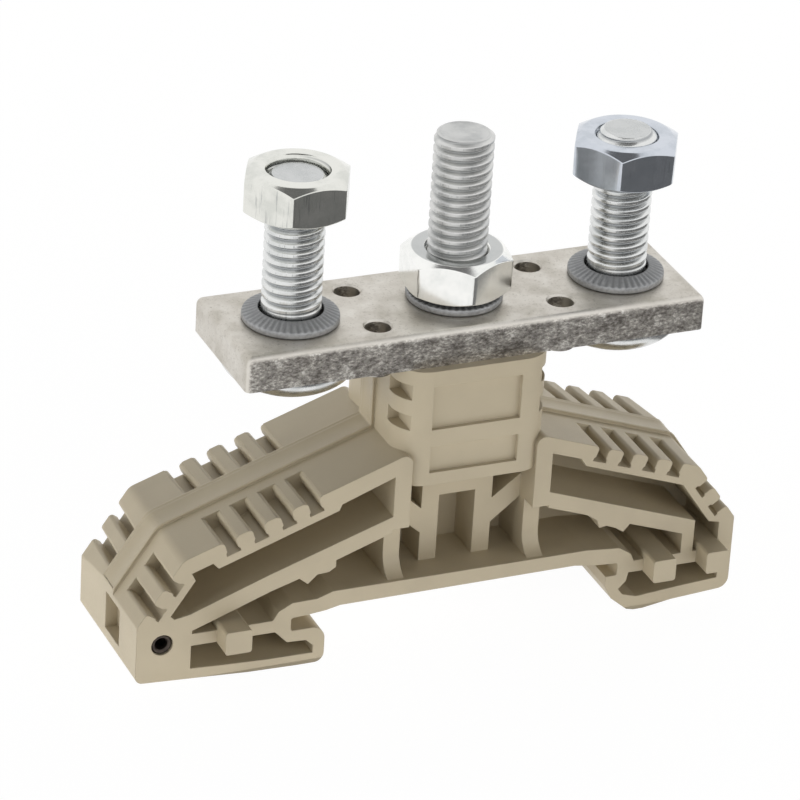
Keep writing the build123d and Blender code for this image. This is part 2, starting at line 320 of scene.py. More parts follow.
@dataclass(frozen=True)
class ZincPlate:
    """Cold-headed steel with a thin clear-passivated zinc plate.

    The plate is mirror-like where a die pressed the steel smooth, and on the
    upright faces it breaks up into fine draw marks and small scratches. Faces
    that look straight up get a painted shade in the colour of the marks, by the
    share given for each plate, and thread roots a painted shade of their own.
    Patterns and their depth are in millimetres; the real marks, under 0.1 wide,
    are drawn as wide as they need to show, and draw_stretch draws them out
    along the axis.
    """

    name: str = "zinc_plate"
    light: str = "#E6E6E0"
    dark: str = "#D8D9D3"
    streak_and_top_shade: str = "#8E9294"
    root: str = "#85888A"
    roughness: float = 0.15
    drawn: float = 0.3
    draw_stretch: float = 0.08
    cloud: float = 2.6
    depth: float = 0.02
    scratch: float = 0.5
    streaks: float = 0.55
    top_shade: float = 0.0

    def material(self) -> bpy.types.Material:
        """Makes the plate's material; thread roots, given as the groove attribute, get a painted shade.

        Returns:
            The material.
        """
        material, tree = new_material(self.name)
        place = add_node(tree, "ShaderNodeTexCoord").outputs["Object"]
        upright = add_node(
            tree, "ShaderNodeMapping", {"Scale": (1.0, 1.0, self.draw_stretch)}, {"Vector": place},
        )
        marks, cloud = (
            add_node(
                tree, "ShaderNodeTexNoise",
                {"Scale": per_mm(size), "Detail": detail, "Roughness": 0.6}, {"Vector": where},
            )
            for size, detail, where in ((self.drawn, 4.0, upright), (self.cloud, 6.0, place))
        )
        tone = add_node(
            tree, "ShaderNodeValToRGB", {"stops": ((0.38, self.dark), (0.55, self.light))}, {0: cloud},
        )
        normal = add_node(tree, "ShaderNodeNewGeometry").outputs["Normal"]
        upward = add_node(tree, "ShaderNodeSeparateXYZ", links={0: normal}).outputs["Z"]
        level = add_node(tree, "ShaderNodeMath", {"operation": "ABSOLUTE"}, {0: upward})
        on_side = add_node(
            tree, "ShaderNodeMapRange", {1: 0.05, 2: 0.3, 3: self.streaks, 4: 0.0}, {0: level},
        )
        is_mark = add_node(tree, "ShaderNodeMapRange", {1: 0.56, 2: 0.68, 3: 0.0, 4: 1.0}, {0: marks})
        drawn = add_node(tree, "ShaderNodeMath", {"operation": "MULTIPLY"}, {0: on_side, 1: is_mark})
        # Painted shade on faces that look straight up, in the colour of the draw marks.
        top_shaded = add_node(tree, "ShaderNodeMapRange", {1: 0.9, 2: 0.98, 3: 0.0, 4: self.top_shade}, {0: upward})
        groove = add_node(tree, "ShaderNodeAttribute", {"attribute_name": "groove"}).outputs["Fac"]
        # Painted shade in the thread roots, as deep as the groove attribute says.
        root_shaded = add_node(tree, "ShaderNodeMapRange", {1: 0.45, 2: 1.0, 3: 0.0, 4: 0.8}, {0: groove})
        shade = tone.outputs[0]
        for share, code in ((drawn, self.streak_and_top_shade), (top_shaded, self.streak_and_top_shade), (root_shaded, self.root)):
            layer = add_node(
                tree, "ShaderNodeMix", {"data_type": "RGBA", 7: linear(code)}, {0: share, 6: shade},
            )
            shade = layer.outputs[2]
        gloss = add_node(
            tree, "ShaderNodeMapRange",
            {1: 0.35, 2: 0.7, 3: self.roughness + 0.06, 4: self.roughness - 0.03}, {0: cloud},
        )
        waves = add_node(
            tree, "ShaderNodeBump", {"Strength": 0.3 * self.scratch, "Distance": self.depth * MM},
            {"Height": marks},
        )
        bump = add_node(
            tree, "ShaderNodeBump", {"Strength": 0.25 * self.scratch, "Distance": self.depth * MM},
            {"Height": cloud, "Normal": waves},
        )
        shader = add_node(
            tree, "ShaderNodeBsdfPrincipled", {"Metallic": 1.0},
            {"Base Color": shade, "Roughness": gloss, "Normal": bump},
        )
        add_node(tree, "ShaderNodeOutputMaterial", links={"Surface": shader})
        return material


@dataclass(frozen=True)
class GreySpringSteel:
    """Spring steel with a grey mechanical zinc coat.

    Tumbled powder coating of zinc gives a flat mid grey, drawn paler on the
    tops of the ribs and along the outer rim. The specks and their depth are in
    millimetres; the powder's own grains are too fine to show, so the specks
    are clusters of them.
    """

    name: str = "grey_spring_steel"
    grey: str = "#8B8C8D"
    pale: str = "#BDBEBF"
    metallic: float = 0.75
    roughness: float = 0.5
    speck: float = 0.3
    depth: float = 0.02

    def material(self) -> bpy.types.Material:
        """Makes the washer's material; paler places are given as the paler attribute.

        Returns:
            The material.
        """
        material, tree = new_material(self.name)
        place = add_node(tree, "ShaderNodeTexCoord").outputs["Object"]
        speck = add_node(
            tree, "ShaderNodeTexNoise", {"Scale": per_mm(self.speck), "Detail": 4.0}, {"Vector": place},
        )
        # Paler where the attribute says, on the rib tops and the outer rim, broken up by the specks.
        rubbed = add_node(tree, "ShaderNodeAttribute", {"attribute_name": "rubbed"}).outputs["Fac"]
        broken = add_node(tree, "ShaderNodeMapRange", {1: 0.35, 2: 0.6, 3: 0.4, 4: 1.0}, {0: speck})
        paled = add_node(tree, "ShaderNodeMath", {"operation": "MULTIPLY"}, {0: rubbed, 1: broken})
        colour = add_node(
            tree, "ShaderNodeMix",
            {"data_type": "RGBA", 6: linear(self.grey), 7: linear(self.pale)}, {0: paled},
        )
        bump = add_node(
            tree, "ShaderNodeBump", {"Strength": 0.35, "Distance": self.depth * MM}, {"Height": speck},
        )
        shader = add_node(
            tree, "ShaderNodeBsdfPrincipled", {"Metallic": self.metallic, "Roughness": self.roughness},
            {"Base Color": colour.outputs[2], "Normal": bump},
        )
        add_node(tree, "ShaderNodeOutputMaterial", links={"Surface": shader})
        return material


@dataclass(frozen=True)
class BlackedSteel:
    """Rolled steel, hardened and oil blacked.

    Nearly black with a brown cast, a dull gloss and thin bright lines where
    the rolled end is chamfered. The clouding is in millimetres.
    """

    name: str = "blacked_steel"
    black: str = "#3A3430"
    brown: str = "#544B44"
    metallic: float = 0.8
    roughness: float = 0.34
    cloud: float = 0.5

    def material(self) -> bpy.types.Material:
        """Makes the pin's material.

        Returns:
            The material.
        """
        material, tree = new_material(self.name)
        place = add_node(tree, "ShaderNodeTexCoord").outputs["Object"]
        cloud = add_node(
            tree, "ShaderNodeTexNoise", {"Scale": per_mm(self.cloud), "Detail": 4.0}, {"Vector": place},
        )
        colour = add_node(
            tree, "ShaderNodeValToRGB", {"stops": ((0.35, self.black), (0.65, self.brown))}, {0: cloud},
        )
        gloss = add_node(
            tree, "ShaderNodeMapRange",
            {1: 0.3, 2: 0.7, 3: self.roughness, 4: self.roughness + 0.15}, {0: cloud},
        )
        shader = add_node(
            tree, "ShaderNodeBsdfPrincipled", {"Metallic": self.metallic},
            {"Base Color": colour, "Roughness": gloss},
        )
        add_node(tree, "ShaderNodeOutputMaterial", links={"Surface": shader})
        return material


def put_mesh(
    name: str,
    points: np.ndarray,
    loop: bool = False,
    poles: tuple[Sequence[float] | None, Sequence[float] | None] = (None, None),
    marks: dict[str, np.ndarray] | None = None,
) -> bpy.types.Object:
    """Puts a wrapped grid of points into a mesh object.

    Columns run once round the piece and close on themselves. Rows run along
    its outline; they close as well for a ring, and end in a point where a
    pole is given.

    Args:
        name: the object's name.
        points: rows by columns by 3, in millimetres in the row frame.
        loop: True where the last row joins the first.
        poles: the points below the first and above the last row, or None.
        marks: values by attribute name, one for each grid point.

    Returns:
        The object, its faces outwards.
    """
    rows, cols = points.shape[:2]
    spots = points.reshape(-1, 3)
    first = np.arange(rows if loop else rows - 1)[:, None] * cols
    here = np.arange(cols)[None, :]
    after = (here + 1) % cols
    above = (first + cols) % (rows * cols)
    quads = np.stack([first + here, first + after, above + after, above + here], -1).reshape(-1, 4)
    fans = []
    extra = []
    for pole, row in ((poles[0], 0), (poles[1], rows - 1)):
        if pole is None:
            continue
        rim = row * cols + np.arange(cols)
        pair = (np.roll(rim, -1), rim) if row == 0 else (rim, np.roll(rim, -1))
        fans.append(np.stack([np.full(cols, len(spots) + len(extra)), *pair], -1))
        extra.append(pole)
    if extra:
        spots = np.vstack([spots, np.array(extra, float)])
    indices = np.concatenate([quads.ravel()] + [fan.ravel() for fan in fans]).astype(np.int32)
    counts = np.concatenate([np.full(len(quads), 4)] + [np.full(len(fan), 3) for fan in fans])
    starts = np.concatenate([[0], np.cumsum(counts)[:-1]]).astype(np.int32)
    mesh = bpy.data.meshes.new(name)
    mesh.vertices.add(len(spots))
    mesh.vertices.foreach_set("co", (spots * MM).astype(np.float32).ravel())
    mesh.loops.add(len(indices))
    mesh.loops.foreach_set("vertex_index", indices)
    mesh.polygons.add(len(counts))
    mesh.polygons.foreach_set("loop_start", starts)
    mesh.update(calc_edges=True)
    # The triple products of the quads' corners add up to six times the volume
    # inside, and less than nothing where the faces look inwards.
    a, b, c, d = (spots[quads[:, k]] for k in range(4))
    volume = np.einsum("ij,ij->i", a, np.cross(b, c)).sum() + np.einsum("ij,ij->i", a, np.cross(c, d)).sum()
    if volume < 0:
        mesh.flip_normals()
    for label, values in (marks or {}).items():
        full = np.zeros(len(spots), np.float32)
        full[:rows * cols] = np.broadcast_to(values, (rows, cols)).ravel()
        mesh.attributes.new(label, "FLOAT", "POINT").data.foreach_set("value", full)
    mesh.polygons.foreach_set("use_smooth", np.ones(len(mesh.polygons), bool))
    piece = bpy.data.objects.new(name, mesh)
    bpy.context.scene.collection.objects.link(piece)
    return piece


def eased(corners: np.ndarray, cuts: Sequence[float], loop: bool) -> np.ndarray:
    """Rounds the corners of an outline.

    Each corner becomes five points: one just outside the rounding on either
    side, where the rounding starts and ends, and its middle, a quarter of the
    way from the corner to the line between start and end. An open outline
    keeps its two ends.

    Args:
        corners: n by columns by 2, radius and height in millimetres.
        cuts: how far from each corner the rounding starts.
        loop: True where the outline closes on itself.

    Returns:
        The rounded outline, rows by columns by 2.
    """
    before = np.roll(corners, 1, 0)
    after = np.roll(corners, -1, 0)
    if not loop:
        before[0], after[-1] = corners[0], corners[-1]
    cut = np.asarray(cuts, float)[:, None, None]

    def towards(other: np.ndarray) -> tuple[np.ndarray, np.ndarray]:
        """Finds two points on the way from each corner to another.

        Args:
            other: the corner that each corner is joined to.

        Returns:
            The points at one cut and at 1.35 cuts, short of the run's middle.
        """
        gap = other - corners
        far = np.linalg.norm(gap, axis=2, keepdims=True)
        unit = gap / np.maximum(far, 1e-9)
        near = np.minimum(cut, 0.42 * far)
        return corners + unit * near, corners + unit * np.minimum(1.35 * near, 0.49 * far)

    start, lead = towards(before)
    end, trail = towards(after)
    middle = 0.5 * corners + 0.25 * (start + end)
    rows = np.stack([lead, start, middle, end, trail], 1).reshape(-1, *corners.shape[1:])
    return rows if loop else rows[1:-1]


def hexagon(angles: np.ndarray, flats: float, turn: float, nose: float) -> np.ndarray:
    """Radius of a hexagon with rounded corners.

    Along a flat the radius is half the width across flats over the cosine of
    the angle from the flat's middle; round a corner it is where the ray meets
    the corner's circle.

    Args:
        angles: angles in radians.
        flats: width across the flats.
        turn: the turn of the first corner, in degrees.
        nose: the corners' radius.

    Returns:
        The radius at each angle.
    """
    half = flats / 2
    off = (angles - np.radians(turn)) % (np.pi / 3) - np.pi / 6
    flat = half / np.cos(off)
    far = (half - nose) / np.cos(np.pi / 6)
    to_corner = np.pi / 6 - np.abs(off)
    inside = np.maximum(nose ** 2 - (far * np.sin(to_corner)) ** 2, 0.0)
    corner = far * np.cos(to_corner) + np.sqrt(inside)
    return np.where(np.abs(half * np.tan(off)) > (half - nose) * np.tan(np.pi / 6), corner, flat)


def turned(
    radii: np.ndarray, heights: np.ndarray, angles: np.ndarray, axis: tuple[float, float],
) -> np.ndarray:
    """Points at the given radii and heights round an upright axis, all in millimetres."""
    radii, heights = np.broadcast_arrays(radii, heights)
    return np.stack([axis[0] + radii * np.cos(angles), axis[1] + radii * np.sin(angles), heights], -1)


def place_of(node: str) -> tuple[tuple[float, float], float, float]:
    """Where an upright node stands.

    Args:
        node: the CAD node.

    Returns:
        Its axis as x and y, its foot and its top, in millimetres.
    """
    low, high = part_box(node)
    return ((low.x + high.x) / 2 / MM, (low.y + high.y) / 2 / MM), low.z / MM, high.z / MM


def dress(piece: bpy.types.Object, material: bpy.types.Material, node: str, body: str) -> None:
    """Gives a new piece its finish and its place in the model.

    Args:
        piece: the new piece.
        material: its finish.
        node: the CAD node that it stands for.
        body: the body that it moves with.
    """
    piece.data.materials.append(material)
    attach(piece, body)
    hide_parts(node)
    log.info("%s: %d points in the place of %s", piece.name, len(piece.data.vertices), node)


@dataclass
class Thread:
    """The coarse M6 thread that the studs and nuts share, in millimetres."""

    pitch: float = 1.0
    crest: float = 2.95
    root: float = 2.5
    root_share: float = 0.06
    flank_share: float = 0.62
    rows: int = 18
    columns: int = 112

    def ridge(self, angles: np.ndarray, heights: np.ndarray) -> np.ndarray:
        """Height of the rolled thread, 0 in the root and 1 on the crest.

        A V wound round the axis that rises one pitch a turn, its crest rolled
        wide and flat and its root eased.

        Args:
            angles: angles in radians.
            heights: heights in millimetres.

        Returns:
            The thread's height over its root at each place.
        """
        along = (heights / self.pitch - angles / (2 * np.pi)) % 1.0
        ridge = (1.0 - np.abs(2.0 * along - 1.0) - self.root_share) / self.flank_share
        ridge = np.clip(ridge, 0.0, 1.0)
        return 0.6 * ridge + 0.4 * ridge * ridge * (3.0 - 2.0 * ridge)


@dataclass
class RoundHeadStud:
    """A round-headed bolt with a square neck, put up through the bar, in millimetres."""

    node: str
    name: str
    chamfer: float
    thread: Thread
    head_radius: float = 6.8
    head_height: float = 3.45
    head_edge: float = 0.3
    dome_rows: int = 22
    square: float = 6.0
    square_corner: float = 1.32
    neck_height: float = 3.35
    plain_height: float = 5.2
    run_out: float = 0.8

    def outline(
        self, angles: np.ndarray, foot: float, top: float,
    ) -> tuple[np.ndarray, np.ndarray, np.ndarray]:
        """Finds every row of the stud: dome, rim, square neck, shank and end.

        The dome's radius follows the sine and its height the cosine of one
        turning angle, the neck's radius is that of a square with small
        corners, and the shank's radius is the thread's between the plain
        part and the chamfer.

        Args:
            angles: the columns' angles in radians.
            foot: the height of the head's lowest point.
            top: the height of the stud's end.

        Returns:
            The radii, the heights and how deep in the thread each point is.
        """
        seat = foot + self.head_height
        swing = np.linspace(0.06, 1.0, self.dome_rows) * np.pi / 2
        dome_r = self.head_radius * np.sin(swing) ** 0.97
        dome_z = seat - self.head_edge - (self.head_height - self.head_edge) * np.cos(swing) ** 1.12
        rim_r = self.head_radius - np.array([0.0, 0.02, 0.12, 0.3])
        rim_z = seat - np.array([0.16, 0.05, 0.01, 0.0])
        around = np.maximum(np.abs(np.cos(angles)), np.abs(np.sin(angles)))
        neck = np.minimum(self.square / 2 / around, self.square / 2 * self.square_corner)
        neck_r = np.stack([neck * 1.005, neck, neck, neck * 0.985])
        neck_z = seat + np.array([0.0, 0.05, self.neck_height - 0.1, self.neck_height])
        shank_z = np.arange(seat + self.neck_height, top - 0.02, self.thread.pitch / self.thread.rows)
        deep = np.clip((shank_z - seat - self.plain_height) / self.run_out, 0.0, 1.0)[:, None]
        groove = (1.0 - self.thread.ridge(angles[None, :], shank_z[:, None])) * deep
        shank_r = self.thread.crest - (self.thread.crest - self.thread.root) * groove
        end = self.thread.crest - self.chamfer
        shank_r = np.minimum(shank_r, end + np.maximum(top - shank_z, 0.0)[:, None])
        last_r = np.array([end - 0.03, end - 0.12, end - 0.3, 0.6 * end, 0.25 * end])
        last_z = top - np.array([0.03, 0.0, 0.0, 0.02, 0.03])
        flat = np.ones_like(angles)
        radii = np.vstack([
            np.concatenate([dome_r, rim_r])[:, None] * flat, neck_r, shank_r, last_r[:, None] * flat,
        ])
        heights = np.concatenate([dome_z, rim_z, neck_z, shank_z, last_z])[:, None] * flat
        before = len(dome_r) + len(rim_r) + len(neck_r)
        marks = np.pad(groove, ((before, len(last_r)), (0, 0)))
        return radii, heights, marks

    def build(self, material: bpy.types.Material) -> bpy.types.Object:
        """Builds the stud in its node's place.

        Args:
            material: the stud's finish.

        Returns:
            The stud.
        """
        axis, foot, top = place_of(self.node)
        angles = np.linspace(0, 2 * np.pi, self.thread.columns, endpoint=False)
        radii, heights, groove = self.outline(angles, foot, top)
        piece = put_mesh(
            self.name, turned(radii, heights, angles, axis),
            poles=((*axis, foot), (*axis, top - 0.03)), marks={"groove": groove},
        )
        dress(piece, material, self.node, "block")
        return piece


@dataclass
class MouldedInStud:
    """The centre stud: a hexagon head held in the neck and a long threaded shank."""

    node: str
    name: str
    thread: Thread
    flats: float = 10.0
    corner: float = 0.2
    head_height: float = 4.0
    end: float = 2.5
    end_slope: float = 1.35
    end_hollow: float = 0.07

    def build(self, material: bpy.types.Material) -> bpy.types.Object:
        """Builds the stud: hexagon radius below, thread radius above, a flat end with a low rim.

        Args:
            material: the stud's finish.

        Returns:
            The stud.
        """
        axis, foot, top = place_of(self.node)
        angles = np.linspace(0, 2 * np.pi, self.thread.columns, endpoint=False)
        flat = np.ones_like(angles)
        head = hexagon(angles, self.flats, 0.0, self.corner)
        head_r = np.stack([head * 0.5, head * 0.98, head, head, head * 0.98])
        head_z = foot + np.array([0.0, 0.0, 0.1, self.head_height - 0.1, self.head_height])
        shank_z = np.arange(foot + self.head_height, top - 0.03, self.thread.pitch / self.thread.rows)
        groove = 1.0 - self.thread.ridge(angles[None, :], shank_z[:, None])
        groove[0] = 0.0
        shank_r = self.thread.crest - (self.thread.crest - self.thread.root) * groove
        limit = self.end + self.end_slope * np.maximum(top - shank_z, 0.0)[:, None]
        shank_r = np.minimum(shank_r, limit)
        rim_r = self.end - np.array([0.02, 0.1, 0.22, 0.32])
        last_r = np.append(rim_r, 0.5)
        last_z = top - np.array([0.04, 0.0, 0.01, self.end_hollow, self.end_hollow])
        radii = np.vstack([head_r, shank_r, last_r[:, None] * flat])
        heights = np.concatenate([head_z, shank_z, last_z])[:, None] * flat
        marks = np.pad(groove, ((len(head_r), len(last_r)), (0, 0)))
        piece = put_mesh(
            self.name, turned(radii, heights, angles, axis),
            poles=((*axis, foot), (*axis, top - self.end_hollow)), marks={"groove": marks},
        )
        dress(piece, material, self.node, "block")
        return piece


@dataclass
class HexNut:
    """A plain M6 hexagon nut, chamfered above and below, its bore countersunk and threaded.

    Sizes are in millimetres. The turn and the slope of the chamfer are in
    degrees, and cuts are the roundings of the outline from the bore's lower
    mouth round the outside to its upper one. bore_shade is how far the crests
    in the bore take the painted shade of the roots.
    """

    node: str
    name: str
    body: str
    turn: float
    thread: Thread
    flats: float = 9.8
    nose: float = 0.22
    nose_low: float = 0.34
    face: float = 4.45
    slope: float = 30.0
    cuts: tuple[float, ...] = (0.05, 0.12, 0.07, 0.07, 0.12, 0.06)
    bore: float = 3.0
    bore_root: float = 3.2
    bore_rows: int = 60
    mouth: float = 3.24
    mouth_depth: float = 0.36
    bore_inset: float = 0.2
    bore_shade: float = 0.4
    sector: int = 22

    def angles(self) -> np.ndarray:
        """Spaces the columns, closer together towards the corners.

        In each sixth they follow the sine of an evenly turning angle.

        Returns:
            The angles in radians.
        """
        across = np.sin(np.linspace(-1, 1, self.sector, endpoint=False) * np.pi / 2) * np.pi / 6
        middles = np.radians(self.turn) + np.pi / 6 + np.arange(6) * np.pi / 3
        return (middles[:, None] + across[None, :]).ravel()

    def build(self, material: bpy.types.Material) -> bpy.types.Object:
        """Builds the nut as a ring of rounded outline corners round the threaded bore.

        The flats end where a flat cone, which starts a little inside the
        flats, cuts the hexagon, so they get the real nut's arcs. The upright
        corners are rounder below, where the cutting die let go.

        Args:
            material: the nut's finish.

        Returns:
            The nut.
        """
        axis, foot, top = place_of(self.node)
        angles = self.angles()
        flat = np.ones_like(angles)
        side, side_low = (hexagon(angles, self.flats, self.turn, nose) for nose in (self.nose, self.nose_low))
        fall = np.tan(np.radians(self.slope))
        drop, drop_low = (np.maximum(wide - self.face, 0.02) * fall for wide in (side, side_low))
        corners = np.stack([
            np.stack([self.mouth * flat, foot * flat], -1),
            np.stack([self.face * flat, foot * flat], -1),
            np.stack([side_low, foot + drop_low], -1),
            np.stack([side, top - drop], -1),
            np.stack([self.face * flat, top * flat], -1),
            np.stack([self.mouth * flat, top * flat], -1),
        ])
        outside = eased(corners, self.cuts, False)
        bore_z = np.linspace(top - self.bore_inset, foot + self.bore_inset, self.bore_rows)
        cut = 1.0 - self.thread.ridge(angles[None, :], bore_z[:, None])
        lead = np.clip(np.minimum(top - bore_z, bore_z - foot) / self.mouth_depth, 0, 1)[:, None]
        sunk_r = self.mouth + (self.bore - self.mouth) * lead
        bore_r = np.maximum(self.bore + (self.bore_root - self.bore) * cut, sunk_r)
        rows = np.vstack([outside, np.stack([bore_r, bore_z[:, None] * flat], -1)])
        # Painted shade in the bore: its roots in full and its crests by bore_shade.
        shaded = self.bore_shade + (1.0 - self.bore_shade) * cut
        groove = np.vstack([np.zeros(outside.shape[:2]), shaded])
        piece = put_mesh(
            self.name, turned(rows[..., 0], rows[..., 1], angles, axis), loop=True, marks={"groove": groove},
        )
        dress(piece, material, self.node, self.body)
        return piece


@dataclass
class RibbedWasher:
    """A conical spring washer with radial ribs on its upper face, in millimetres.

    rim_pale and rib_pale say how much paler its rim and the tops of its ribs are drawn, up to 1.
    """

    node: str
    name: str
    inner: float = 3.2
    outer: float = 4.8
    thick: float = 0.7
    rim_pale: float = 0.7
    rib_pale: float = 0.6
    ribs: int = 44
    rib_columns: int = 8
    rib_height: float = 0.09
    cone_rows: int = 9

    def build(self, material: bpy.types.Material) -> bpy.types.Object:
        """Builds the washer: a thin cone whose top rises and falls with the cosine of the ribs' angle.

        The ribs fade out towards both rims with the root of a sine.

        Args:
            material: the washer's finish.

        Returns:
            The washer.
        """
        axis, foot, top = place_of(self.node)
        rise = top - foot - self.thick
        angles = np.linspace(0, 2 * np.pi, self.ribs * self.rib_columns, endpoint=False)
        flat = np.ones_like(angles)
        share = np.linspace(0.04, 0.9, self.cone_rows)[:, None]
        wave = 0.5 + 0.5 * np.cos(self.ribs * angles)[None, :]
        fade = np.sin(share * np.pi) ** 0.5
        upper_r = self.outer - (self.outer - self.inner) * share * flat
        upper_z = top - rise * (1 - share) - self.rib_height * (1 - wave) * fade
        under = np.array([
            [self.inner + 0.04, top - 0.06], [self.inner, top - 0.14], [self.inner, foot + rise + 0.08],
            [self.inner + 0.06, foot + rise], [self.outer - 0.3, foot + 0.03], [self.outer - 0.16, foot],
            [self.outer - 0.05, foot + 0.06],
        ])
        rim = np.array([
            [self.outer, foot + 0.2], [self.outer, foot + self.thick - 0.18],
            [self.outer - 0.03, foot + self.thick - 0.08],
        ])
        lower = np.vstack([under, rim])
        radii = np.vstack([upper_r, lower[:, :1] * flat])
        heights = np.vstack([upper_z, lower[:, 1:] * flat])
        bare = np.repeat([0.0, self.rim_pale], (len(under), len(rim)))
        rubbed = np.vstack([wave * (1.1 - share) * self.rib_pale, bare[:, None] * flat])
        piece = put_mesh(self.name, turned(radii, heights, angles, axis), loop=True, marks={"rubbed": rubbed})
        dress(piece, material, self.node, "block")
        return piece


def moved_out(line: np.ndarray, gap: float) -> np.ndarray:
    """Moves a line of straight runs sideways.

    Each run's left-hand normal is its direction turned by a quarter; a corner
    moves along the sum of its two normals, scaled so that both runs move by
    the same gap.

    Args:
        line: points by 2, in millimetres.
        gap: how far the runs move to their left.

    Returns:
        The moved points.
    """
    runs = np.diff(line, axis=0)
    runs /= np.linalg.norm(runs, axis=1, keepdims=True)
    normals = np.stack([-runs[:, 1], runs[:, 0]], 1)
    before = np.vstack([normals[:1], normals])
    after = np.vstack([normals, normals[-1:]])
    both = before + after
    return line + gap * both / (1.0 + np.sum(before * after, axis=1, keepdims=True))


@dataclass
class LippedStrip:
    """The lips of the raised strip that runs over a wing and up the neck.

    The mould's two halves leave a thin rounded lip along the strip's front
    edge and a double one along its back. Sizes are in millimetres, the line
    in x and z.
    """

    name: str
    line: tuple[tuple[float, float], ...]
    front: float = 0.0
    back: float = 3.15
    corner_cut: float = 0.5
    neck_cut: float = 0.1

    def profile(self) -> np.ndarray:
        """Draws the strip's cross-section: over the lips and back below the surface.

        Returns:
            Depth and height over the strip of each of its points.
        """
        f, b = self.front, self.back
        return np.array([
            (f - 0.03, -0.1), (f - 0.04, 0.0), (f, 0.06), (f + 0.1, 0.09), (f + 0.22, 0.07),
            (f + 0.34, 0.02), (b - 0.75, 0.02), (b - 0.68, 0.06), (b - 0.56, 0.07), (b - 0.45, 0.02),
            (b - 0.32, 0.02), (b - 0.22, 0.07), (b - 0.1, 0.08), (b, 0.04), (b + 0.03, -0.1),
        ])

    def build(self, material: bpy.types.Material) -> bpy.types.Object:
        """Builds the strip: each point of the profile follows the line, moved out by its own height.

        Args:
            material: the moulding's finish.

        Returns:
            The strip.
        """
        line = np.array(self.line)
        upright = np.isclose(line[:, 0], line[np.argmax(line[:, 1]), 0])
        cuts = np.where(upright, self.neck_cut, self.corner_cut)
        tracks = []
        for depth, height in self.profile():
            track = eased(moved_out(line, height)[:, None, :], cuts, False)[:, 0]
            tracks.append(np.stack([track[:, 0], np.full(len(track), depth), track[:, 1]], -1))
        points = np.stack(tracks, 1)
        ends = tuple(points[row].mean(0) for row in (0, -1))
        piece = put_mesh(self.name, points, poles=ends)
        piece.data.materials.append(material)
        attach(piece, "block")
        log.info("%s: lips on the strip of the housing", piece.name)
        return piece


@dataclass
class HollowPin:
    """The hollow pin through the left foot, chamfered inside and out at both ends, in millimetres."""

    node: str
    name: str
    outer: float = 1.1
    inner: float = 0.62
    chamfer: float = 0.16
    cut: float = 0.04
    columns: int = 48

    def build(self, material: bpy.types.Material) -> bpy.types.Object:
        """Builds the pin: a rounded ring outline carried round the pin's level axis.

        Args:
            material: the pin's finish.

        Returns:
            The pin.
        """
        low, high = (np.array(corner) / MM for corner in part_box(self.node))
        angles = np.linspace(0, 2 * np.pi, self.columns, endpoint=False)
        flat = np.ones_like(angles)
        c = self.chamfer
        outline = np.array([
            [self.inner, low[1] + c], [self.inner + c, low[1]],
            [self.outer - c, low[1]], [self.outer, low[1] + c],
            [self.outer, high[1] - c], [self.outer - c, high[1]],
            [self.inner + c, high[1]], [self.inner, high[1] - c],
        ])
        rows = eased(outline[:, None, :] * flat[None, :, None], (self.cut,) * len(outline), True)
        x, z = (low[0] + high[0]) / 2, (low[2] + high[2]) / 2
        out = rows[..., 0]
        points = np.stack([x + out * np.cos(angles), rows[..., 1], z + out * np.sin(angles)], -1)
        piece = put_mesh(self.name, points, loop=True)
        dress(piece, material, self.node, "block")
        return piece


@dataclass
class PhotoCamera:
    """The photograph's camera, in millimetres and degrees in the row frame."""

    eye: tuple[float, float, float] = (-175.225, -380.154, 242.226)
    azimuth: float = -24.410
    elevation: float = 27.582
    roll: float = -3.625
    focal_px: float = 4800.8
    sensor: float = 36.0

    def place(self) -> bpy.types.Object:
        """Makes the camera, turned as in the photograph, and gives it to the scene.

        Returns:
            The camera.
        """
        a, e, r = np.radians((self.azimuth, self.elevation, self.roll))
        forward = -np.array([np.sin(a) * np.cos(e), -np.cos(a) * np.cos(e), np.sin(e)])
        right = np.cross(forward, (0.0, 0.0, 1.0))
        right /= np.linalg.norm(right)
        down = np.cross(forward, right)
        across = np.cos(r) * right + np.sin(r) * down
        below = -np.sin(r) * right + np.cos(r) * down
        turn = Matrix(np.stack([across, -below, -forward], 1).tolist()).to_4x4()
        data = bpy.data.cameras.new("photo_camera")
        data.sensor_width = self.sensor
        data.lens = self.focal_px * self.sensor / IMAGE_PX
        data.clip_start, data.clip_end = 0.01, 20.0
        camera = bpy.data.objects.new("photo_camera", data)
        camera.matrix_world = Matrix.Translation(Vector(self.eye) * MM) @ turn
        bpy.context.scene.collection.objects.link(camera)
        bpy.context.scene.camera = camera
        return camera


@dataclass
class SoftLight:
    """An oblong softbox a metre away that points at the block, unseen in the metal.

    Its bearing is counted from the front towards the left and its rise from
    the bench, both in degrees; its size and the height that it points at are
    in metres.
    """

    name: str
    bearing: float
    rise: float
    size: tuple[float, float]
    watts: float
    aim: float = 0.02

    def place(self) -> tuple[Vector, Vector]:
        """Finds where the light stands and the way it shines.

        Returns:
            The place in metres and a unit vector.
        """
        bearing, rise = radians(self.bearing), radians(self.rise)
        stand = Vector((-sin(bearing) * cos(rise), -cos(bearing) * cos(rise), sin(rise)))
        return stand, (UP * self.aim - stand).normalized()

    def make(self) -> bpy.types.Object:
        """Makes the light, its width level.

        Returns:
            The light.
        """
        data = bpy.data.lights.new(self.name, "AREA")
        data.shape = "RECTANGLE"
        data.size, data.size_y = self.size
        data.energy = self.watts
        light = bpy.data.objects.new(self.name, data)
        place, way = self.place()
        level = way.cross(UP)
        level = level.normalized() if level.length > 1e-6 else Vector((1.0, 0.0, 0.0))
        turn = Matrix((level, level.cross(way), -way)).transposed().to_4x4()
        light.matrix_world = Matrix.Translation(place) @ turn
        light.visible_camera = False
        light.visible_glossy = False
        bpy.context.scene.collection.objects.link(light)
        return light


